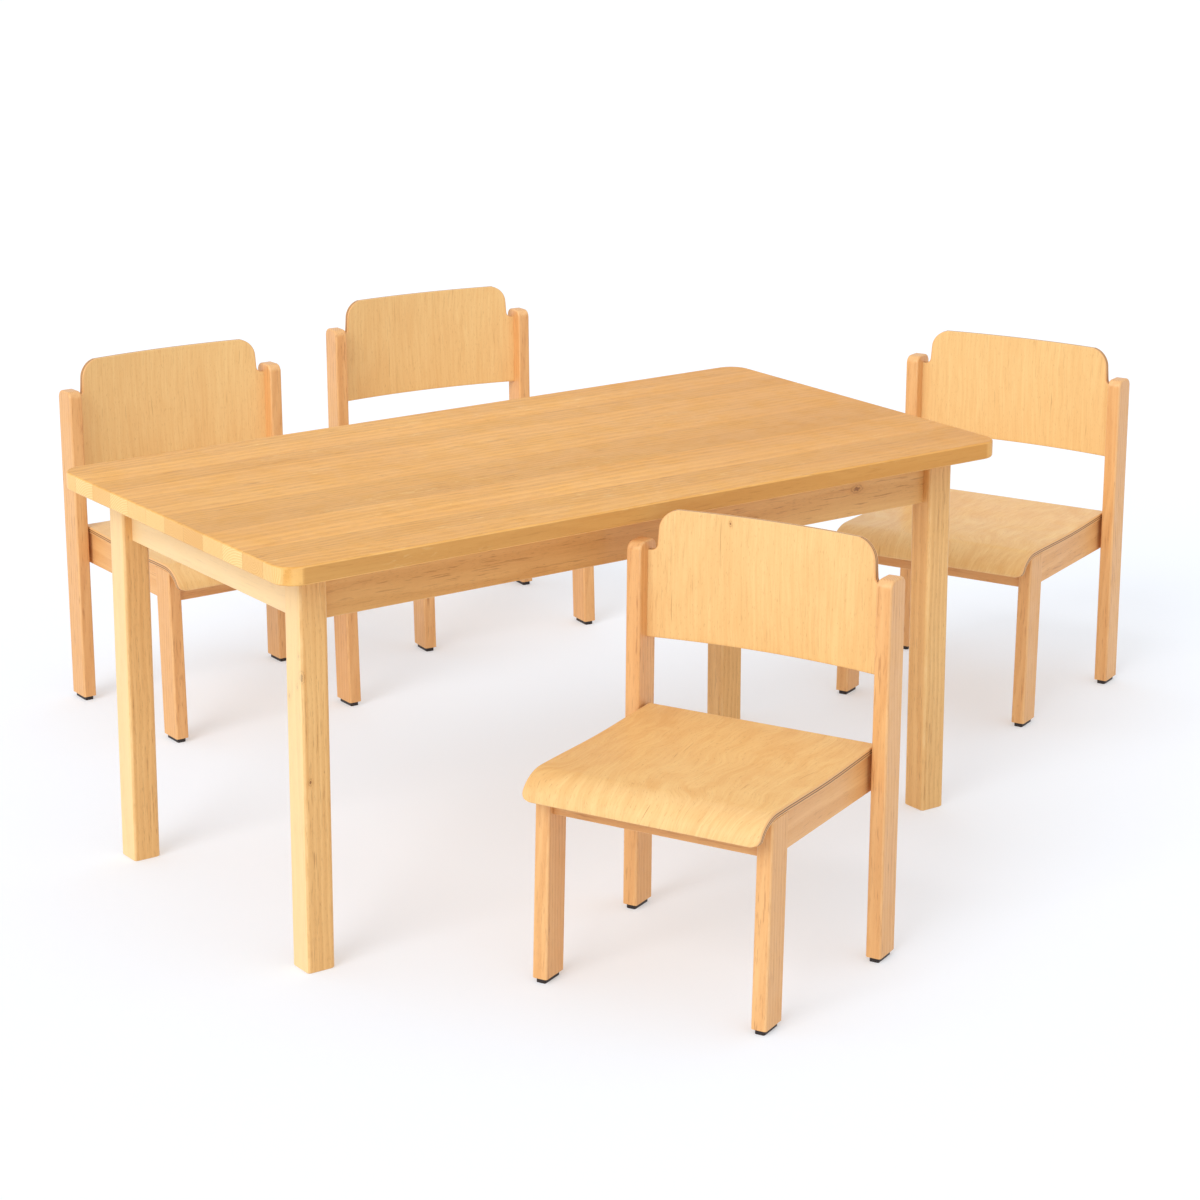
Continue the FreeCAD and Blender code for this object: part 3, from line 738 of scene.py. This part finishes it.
for number, chair in enumerate(layout["chairs"]):
    centre, turn = chairPlace(chair)
    upright = [solidWood(chair + "_beech" + str(k), beechLook, 2, centre, turn,
                         2.3 * number + 0.57 * k, chairWood["uprightRings"]) for k in range(2)]
    lengthwise = solidWood(chair + "_beechRail", beechLook, 0, centre, turn, 1.9 * number + 7.0,
                           chairWood["railRings"], (), chairWood["sideRailLift"])
    crosswise = solidWood(chair + "_beechCross", beechLook, 1, centre, turn, 1.1 * number + 9.0,
                          chairWood["railRings"], (), chairWood["crossRailLift"])
    for side in ("left", "right"):
        dress(chair + "_post_" + side, upright[0])
        dress(chair + "_leg_" + side, upright[1])
        dress(chair + "_side_rail_" + side, lengthwise)
    dress(chair + "_front_rail", crosswise)
    dress(chair + "_rear_rail", crosswise)
    dress(chair + "_glides", plastic)
    dress(chair + "_seat_screws", steel)
print("chairs dressed")


# moulded seat and backrest

mergeWithin = 2e-6   # metres


def meshFromGrid(name, points, uv, columnMaterial, materials):
    # points is rows x columns x 3, and the last column joins the first; the two end strips are ply edge
    rows, columns = points.shape[:2]
    index = np.arange(rows * columns).reshape(rows, columns)
    column = np.arange(columns)
    nextColumn = (column + 1) % columns
    a = index[:-1][:, column]
    b = index[:-1][:, nextColumn]
    c = index[1:][:, nextColumn]
    d = index[1:][:, column]
    faces = np.stack([a, b, c, d], axis=-1).reshape(-1, 4)
    corners = [uv[:-1, column], uv[:-1, column + 1], uv[1:, column + 1], uv[1:, column]]
    uvWalk = np.stack(corners, axis=2).reshape(-1, 2)
    mesh = bpy.data.meshes.new(name)
    mesh.from_pydata(points.reshape(-1, 3).tolist(), [], faces.tolist())
    layer = mesh.uv_layers.new(name="surface")
    layer.data.foreach_set("uv", uvWalk.ravel())
    for material in materials:
        mesh.materials.append(material)
    stripMaterial = np.tile(columnMaterial, (rows - 1, 1)).astype(np.int32)
    stripMaterial[[0, -1]] = 1
    mesh.polygons.foreach_set("material_index", stripMaterial.ravel())
    mesh.polygons.foreach_set("use_smooth", np.ones(len(faces), dtype=bool))
    # points that lie on each other are merged, and then the faces are turned outward
    work = bmesh.new()
    work.from_mesh(mesh)
    bmesh.ops.remove_doubles(work, verts=work.verts, dist=mergeWithin)
    bmesh.ops.recalc_face_normals(work, faces=work.faces)
    work.to_mesh(mesh)
    work.free()
    mesh.update()
    piece = bpy.data.objects.new(name, mesh)
    bpy.context.scene.collection.objects.link(piece)
    return piece


def shutEnds(points, uv, across, share, squeezed):
    # each end row comes again with the ply edge's map, distance across and share of the thickness,
    # and is then shut by a row on its middle line
    def mapped(row, depth):
        return np.stack([np.append(across[row], across[row, 0]), depth], axis=-1)[None]
    middle = np.full(len(share), 0.5)
    points = np.concatenate([squeezed(points[:1]), points[:1], points, points[-1:], squeezed(points[-1:])])
    uv = np.concatenate([mapped(0, middle), mapped(0, share), uv, mapped(-1, share), mapped(-1, middle)])
    return points, uv


def sectionLoop(topSteps, roundSteps, edgeRadius, thickness):
    # closed outline of a flat board's section: side as -1..1, depth 0 on the face to 1 on the back,
    # and how far each point stands in from the board's side because of its rounded arris
    face = np.concatenate([[-1], np.linspace(-0.99, 0.99, topSteps - 2), [1]])
    turn = np.linspace(0, math.pi / 2, roundSteps)
    inset = edgeRadius * (1 - np.sin(turn))
    drop = edgeRadius * (1 - np.cos(turn))
    flatInset = np.full(topSteps, edgeRadius)
    flatEdge = np.zeros(topSteps - 1)
    roundEdge = np.ones(2 * roundSteps + 1)
    sides = np.concatenate([face, np.ones(2 * roundSteps), face[::-1], -np.ones(2 * roundSteps)])
    insets = np.concatenate([flatInset, inset, inset[::-1], flatInset, inset, inset[::-1]])
    depths = np.concatenate([np.zeros(topSteps), drop, thickness - drop[::-1],
                             np.full(topSteps, thickness), thickness - drop, drop[::-1]])
    isEdge = np.concatenate([flatEdge, roundEdge, flatEdge, roundEdge])
    return sides, insets, depths, isEdge.astype(np.int32)


seatLook = {
    "halfWidth": 0.171,
    "thickness": 0.010,
    "rearX": -0.147,
    "rearHeight": 0.294,
    "dish": 0.0025,
    "fall": 0.002,          # from the rear to the roll
    "lipStart": 0.138,
    "lipReach": 0.050,
    "lipDrop": 0.038,
    "lipEnd": 84.0,         # degrees of the roll
    "lipCorner": 0.013,
    "cornerShare": 0.92,    # how much of the corner's round shows
    "edgeRadius": 0.0016,
    "rows": 110,
    "across": 48,
    "arrisSteps": 5,
}


def seatLine(steps):
    # side line of the seat: shallow dish, then an elliptical roll over the front rail; evenly spaced by length
    look = seatLook
    share = np.linspace(0, 1, 400)
    flatX = look["rearX"] + share * (look["lipStart"] - look["rearX"])
    flatZ = look["rearHeight"] - look["dish"] * np.sin(np.pi * share) ** 2 - look["fall"] * share
    angle = np.radians(look["lipEnd"]) * np.linspace(0, 1, 200)[1:]
    lipX = look["lipStart"] + look["lipReach"] * np.sin(angle)
    lipZ = look["rearHeight"] - look["fall"] - look["lipDrop"] * (1 - np.cos(angle))
    x = np.concatenate([flatX, lipX])
    z = np.concatenate([flatZ, lipZ])
    length = np.concatenate([[0], np.cumsum(np.hypot(np.diff(x), np.diff(z)))])
    even = np.linspace(0, length[-1], steps)
    return np.interp(even, length, x), np.interp(even, length, z), even


def placeInChair(points, centre, turn):
    # chair's own axes turned about Z and moved to where the chair stands
    c, s = math.cos(turn), math.sin(turn)
    x = points[..., 0] * c - points[..., 1] * s + centre[0]
    y = points[..., 0] * s + points[..., 1] * c + centre[1]
    return np.stack([x, y, points[..., 2]], axis=-1)


def makeSeat(chair, centre, turn, materials):
    # the section loop carried along the side line; the first and last rows close in to round the ends
    look = seatLook
    edge, thickness, corner, count = look["edgeRadius"], look["thickness"], look["lipCorner"], look["arrisSteps"]
    x, z, s = seatLine(look["rows"])
    tangent = np.stack([np.gradient(x, s), np.gradient(z, s)], axis=-1)
    tangent /= np.linalg.norm(tangent, axis=1, keepdims=True)
    normal = np.stack([-tangent[:, 1], tangent[:, 0]], axis=-1)
    sides, insets, depths, isEdge = sectionLoop(look["across"], count, edge, thickness)
    # half width narrows round the lip's lower corners
    left = s[-1] - s
    into = np.clip(corner - left, 0, corner)
    half = look["halfWidth"] - (corner - np.sqrt(np.maximum(corner ** 2 - into ** 2, 0))) * look["cornerShare"]
    # rows that round the two ends
    turnSteps = np.linspace(0, math.pi / 2, count)
    shrink = edge * (1 - np.cos(turnSteps))
    advance = edge * np.sin(turnSteps)
    short = edge - advance
    middle = (s > edge) & (left > edge)
    rowX = np.concatenate([(x[0] + edge - advance)[::-1], x[middle], x[-1] - tangent[-1, 0] * short])
    rowZ = np.concatenate([np.full(count, z[0]), z[middle], z[-1] - tangent[-1, 1] * short])
    rowS = np.concatenate([short[::-1], s[middle], s[-1] - edge + advance])
    rowHalf = np.concatenate([np.full(count, half[0]), half[middle], np.interp(rowS[-count:], s, half)])
    rowNormal = np.concatenate([np.tile(normal[0], (count, 1)), normal[middle], np.tile(normal[-1], (count, 1))])
    rowShrink = np.concatenate([shrink[::-1], np.zeros(middle.sum()), shrink])
    depth = depths[None, :] + (1 - 2 * depths[None, :] / thickness) * rowShrink[:, None]
    across = sides[None, :] * (rowHalf[:, None] - insets[None, :])
    px = rowX[:, None] - rowNormal[:, 0:1] * depth
    pz = rowZ[:, None] - rowNormal[:, 1:2] * depth
    points = np.stack([px, -across, pz], axis=-1)
    u = np.tile(rowS[:, None], (1, len(sides) + 1))
    v = np.concatenate([across, across[:, :1]], axis=1)
    share = np.append(depths, depths[0]) / thickness
    edgeColumn = np.append(isEdge, isEdge[0]).astype(bool)
    uv = np.stack([u, v], axis=-1)
    uv[:, edgeColumn, 1] = share[edgeColumn][None, :]

    def squeezed(row):
        # every point of the row at the row's middle height
        flat = row.copy()
        flat[..., 0] = row[..., 0].mean()
        flat[..., 2] = row[..., 2].mean()
        return flat

    points, uv = shutEnds(points, uv, across, share, squeezed)
    return meshFromGrid(chair + "_mouldedSeat", placeInChair(points, centre, turn), uv, isEdge, materials)


backLook = {
    "innerHalf": 0.174,
    "groove": 0.0078,
    "thickness": 0.009,
    "bow": 0.018,
    "frontX": -0.1385,
    "low": 0.387,
    "high": 0.567,
    "shoulder": 0.509,
    "narrowing": 0.012,
    "taper": 0.004,
    "topCorner": 0.028,
    "shoulderRadius": 0.008,
    "edgeRadius": 0.0018,
    "lean": 1.0,            # degrees
    "leanFoot": -0.1625,
    "crownRise": 0.0006,    # the last rise that closes the top edge
    "lastBelow": 0.0012,    # last even row under the shoulder
    "stepBelow": 0.00005,   # row just under the shoulder's step
    "leastHalf": 0.0005,
    "lowerRows": 26,
    "hollowRows": 9,
    "sideRows": 8,
    "cornerRows": 15,
    "across": 64,
    "arrisSteps": 5,
}


def backOutline(z):
    # half width of the backrest at each height: full below the shoulder, then a hollow fillet,
    # a slightly tapered side and a rounded top corner
    look = backLook
    wide = look["innerHalf"] + look["groove"]
    narrow = look["innerHalf"] - look["narrowing"]
    rise = (z - look["shoulder"]) / (look["high"] - look["shoulder"])
    side = narrow - look["taper"] * np.clip(rise, 0, 1)
    hollow = np.clip(look["shoulder"] + look["shoulderRadius"] - z, 0, look["shoulderRadius"])
    side = side + look["shoulderRadius"] - np.sqrt(look["shoulderRadius"] ** 2 - hollow ** 2)
    over = np.clip(z - (look["high"] - look["topCorner"]), 0, look["topCorner"])
    side = side - (look["topCorner"] - np.sqrt(np.maximum(look["topCorner"] ** 2 - over ** 2, 0)))
    return np.where(z < look["shoulder"] - 1e-6, wide, side)


def makeBackrest(chair, centre, turn, materials):
    # rows go up the board; each row is the section loop bent round the bow's arc
    look = backLook
    edge, thickness, shoulder = look["edgeRadius"], look["thickness"], look["shoulder"]
    rise, cornerFoot = look["crownRise"], look["high"] - look["topCorner"]
    radius = look["innerHalf"] ** 2 / (2 * look["bow"]) + look["bow"] / 2
    centreX = look["frontX"] + math.sqrt(radius ** 2 - look["innerHalf"] ** 2)
    lower = np.linspace(look["low"] + edge, shoulder - look["lastBelow"], look["lowerRows"])
    quarter = np.linspace(0, math.pi / 2, look["hollowRows"])
    hollow = shoulder + look["shoulderRadius"] * (1 - np.cos(quarter))
    straight = np.linspace(shoulder + look["shoulderRadius"], cornerFoot, look["sideRows"])[1:-1]
    quarter = np.linspace(0, math.pi / 2, look["cornerRows"])
    corner = cornerFoot + (look["topCorner"] - rise) * np.sin(quarter)
    middle = np.concatenate([lower, [shoulder - look["stepBelow"]], hollow, straight, corner])
    # rows that round the lower edge
    turnSteps = np.linspace(0, math.pi / 2, look["arrisSteps"])
    shrinkEnd = edge * (1 - np.cos(turnSteps))[::-1][:-1]
    bottom = (look["low"] + edge - edge * np.sin(turnSteps)[::-1])[:-1]
    z = np.concatenate([bottom, middle])
    shrink = np.concatenate([shrinkEnd, np.zeros(len(middle))])
    sides, insets, depths, isEdge = sectionLoop(look["across"], look["arrisSteps"], edge, thickness)
    half = backOutline(z)
    half[:len(bottom) + len(lower)] = look["innerHalf"] + look["groove"]
    depth = depths[None, :] + (1 - 2 * depths[None, :] / thickness) * shrink[:, None]
    arc = sides[None, :] * np.maximum(half[:, None] - insets[None, :], look["leastHalf"])
    angle = np.arcsin(np.clip(arc / radius, -1, 1))
    reach = radius + depth
    px = centreX - reach * np.cos(angle)
    py = -reach * np.sin(angle)
    pz = np.repeat(z[:, None], len(sides), axis=1)
    points = np.stack([px, py, pz], axis=-1)
    crownRows = []
    for amount in (0.35, 0.7, 1.0):
        # last rows climb over the crown: thickness closes in as the height rises
        sunk = depths + (1 - 2 * depths / thickness) * edge * amount ** 2
        row = points[-1:].copy()
        row[..., 0] = centreX - (radius + sunk) * np.cos(angle[-1])
        row[..., 1] = -(radius + sunk) * np.sin(angle[-1])
        row[..., 2] = z[-1] + rise * amount
        crownRows.append(row)
    points = np.concatenate([points] + crownRows)
    rowZ = points[:, 0, 2]
    arcAll = np.concatenate([arc, np.repeat(arc[-1:], len(crownRows), axis=0)])
    u = np.concatenate([arcAll, arcAll[:, :1]], axis=1)
    v = np.tile(rowZ[:, None], (1, len(sides) + 1))
    uv = np.stack([u, v], axis=-1)
    share = np.append(depths, depths[0]) / thickness
    edgeColumn = np.append(isEdge, isEdge[0]).astype(bool)
    uv[:, edgeColumn, 0] = rowZ[:, None]
    uv[:, edgeColumn, 1] = share[edgeColumn][None, :]

    def squeezed(row):
        # front and back points of one row meet on the middle line of the thickness
        flat = row.copy()
        mid = radius + thickness / 2
        direction = np.arctan2(row[..., 1], centreX - row[..., 0])
        flat[..., 0] = centreX - mid * np.cos(direction)
        flat[..., 1] = mid * np.sin(direction)
        return flat

    points, uv = shutEnds(points, uv, arcAll, share, squeezed)
    # lean with the posts, about the line across the chair at the posts' back foot
    lean = math.radians(-look["lean"])
    dx = points[..., 0] - look["leanFoot"]
    px = look["leanFoot"] + dx * math.cos(lean) + points[..., 2] * math.sin(lean)
    pz = -dx * math.sin(lean) + points[..., 2] * math.cos(lean)
    points = np.stack([px, points[..., 1], pz], axis=-1)
    return meshFromGrid(chair + "_curvedBack", placeInChair(points, centre, turn), uv, isEdge, materials)


edgeMaterial = plyEdge()
# pin knot near the upper edge of one backrest, as height, distance across and size
pinKnots = {"chair_front": [(0.557, 0.058, 0.0, 0.0022)]}
for number, chair in enumerate(layout["chairs"]):
    centre, turn = chairPlace(chair)
    seatFace = plyFace(chair + "_seatVeneer", False, 1.3 + 2.7 * number, 1.0)
    backFace = plyFace(chair + "_backVeneer", True, 4.1 + 1.9 * number, 0.0, pinKnots.get(chair, ()))
    seat = makeSeat(chair, centre, turn, [seatFace, edgeMaterial])
    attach(seat, chair)
    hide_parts(chair + "_seat")
    back = makeBackrest(chair, centre, turn, [backFace, edgeMaterial])
    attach(back, chair)
    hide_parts(chair + "_backrest")
print("seats and backrests made")


# floor, light and camera

studioLook = {
    "floorTones": ((0.575, 0.615, 0.68, 1), (0.585, 0.625, 0.69, 1)),
    "floorHalf": 40.0,
    "glow": 0.36,
    "key": 1.35,
    "keySpread": 34.0,      # degrees
    "keyColor": (1.0, 0.99, 0.97),
    "keyFrom": (-0.78, -0.30, 0.60),
    "sky": 0.86,
}


def makeFloor():
    # pale matte floor that glows a little, so that it runs into the white background
    size = studioLook["floorHalf"]
    mesh = bpy.data.meshes.new("studioFloor")
    corners = [(-size, -size, 0), (size, -size, 0), (size, size, 0), (-size, size, 0)]
    mesh.from_pydata(corners, [], [(0, 1, 2, 3)])
    floor = bpy.data.objects.new("studioFloor", mesh)
    bpy.context.scene.collection.objects.link(floor)
    material, tree, shader = newMaterial("studioFloorPaint", 0.9, 0.0, 0.1)
    soft = noiseNode(tree, objectPlace(tree), 0.6, 2.0, 0.5)
    tree.links.new(mixColor(tree, soft, *studioLook["floorTones"]), shader.inputs["Base Color"])
    shader.inputs["Emission Color"].default_value = (1, 1, 1, 1)
    shader.inputs["Emission Strength"].default_value = studioLook["glow"]
    mesh.materials.append(material)


def makeKeyLight():
    # broad soft light; keyFrom points from the set to the light
    toward = studioLook["keyFrom"]
    data = bpy.data.lights.new("keyLight", "SUN")
    data.energy = studioLook["key"]
    data.angle = math.radians(studioLook["keySpread"])
    data.color = studioLook["keyColor"]
    lamp = bpy.data.objects.new("keyLight", data)
    bpy.context.scene.collection.objects.link(lamp)
    level = math.hypot(toward[0], toward[1])
    lamp.rotation_euler = (math.atan2(level, toward[2]), 0, math.atan2(toward[1], toward[0]) + math.pi / 2)


def makeStudio():
    makeFloor()
    world = bpy.data.worlds.new("studioWorld")
    bpy.context.scene.world = world
    world.use_nodes = True
    background = world.node_tree.nodes["Background"]
    background.inputs["Color"].default_value = (1.0, 1.0, 1.0, 1)
    background.inputs["Strength"].default_value = studioLook["sky"]
    makeKeyLight()
    bpy.context.scene.view_settings.view_transform = "Standard"
    bpy.context.scene.view_settings.exposure = 0.0


cameraView = {
    "eye": (-2.439, -3.601, 1.640),     # from the table's centre on the floor
    "turn": 54.74,                      # degrees from +X
    "tilt": 13.86,                      # degrees downward
    "lens": 93.84,
    "sensor": 36.0,
    "rise": -0.12,
    "farthest": 200.0,
}


def makeCamera():
    data = bpy.data.cameras.new("studioCamera")
    data.sensor_width = cameraView["sensor"]
    data.lens = cameraView["lens"]
    data.shift_y = cameraView["rise"]
    data.clip_end = cameraView["farthest"]
    camera = bpy.data.objects.new("studioCamera", data)
    bpy.context.scene.collection.objects.link(camera)
    eyeX, eyeY, eyeZ = cameraView["eye"]
    camera.location = (layout["table"][0] + eyeX, layout["table"][1] + eyeY, eyeZ)
    camera.rotation_euler = (math.radians(90 - cameraView["tilt"]), 0, math.radians(cameraView["turn"] - 90))
    bpy.context.scene.camera = camera


makeStudio()
makeCamera()
print("studio ready")
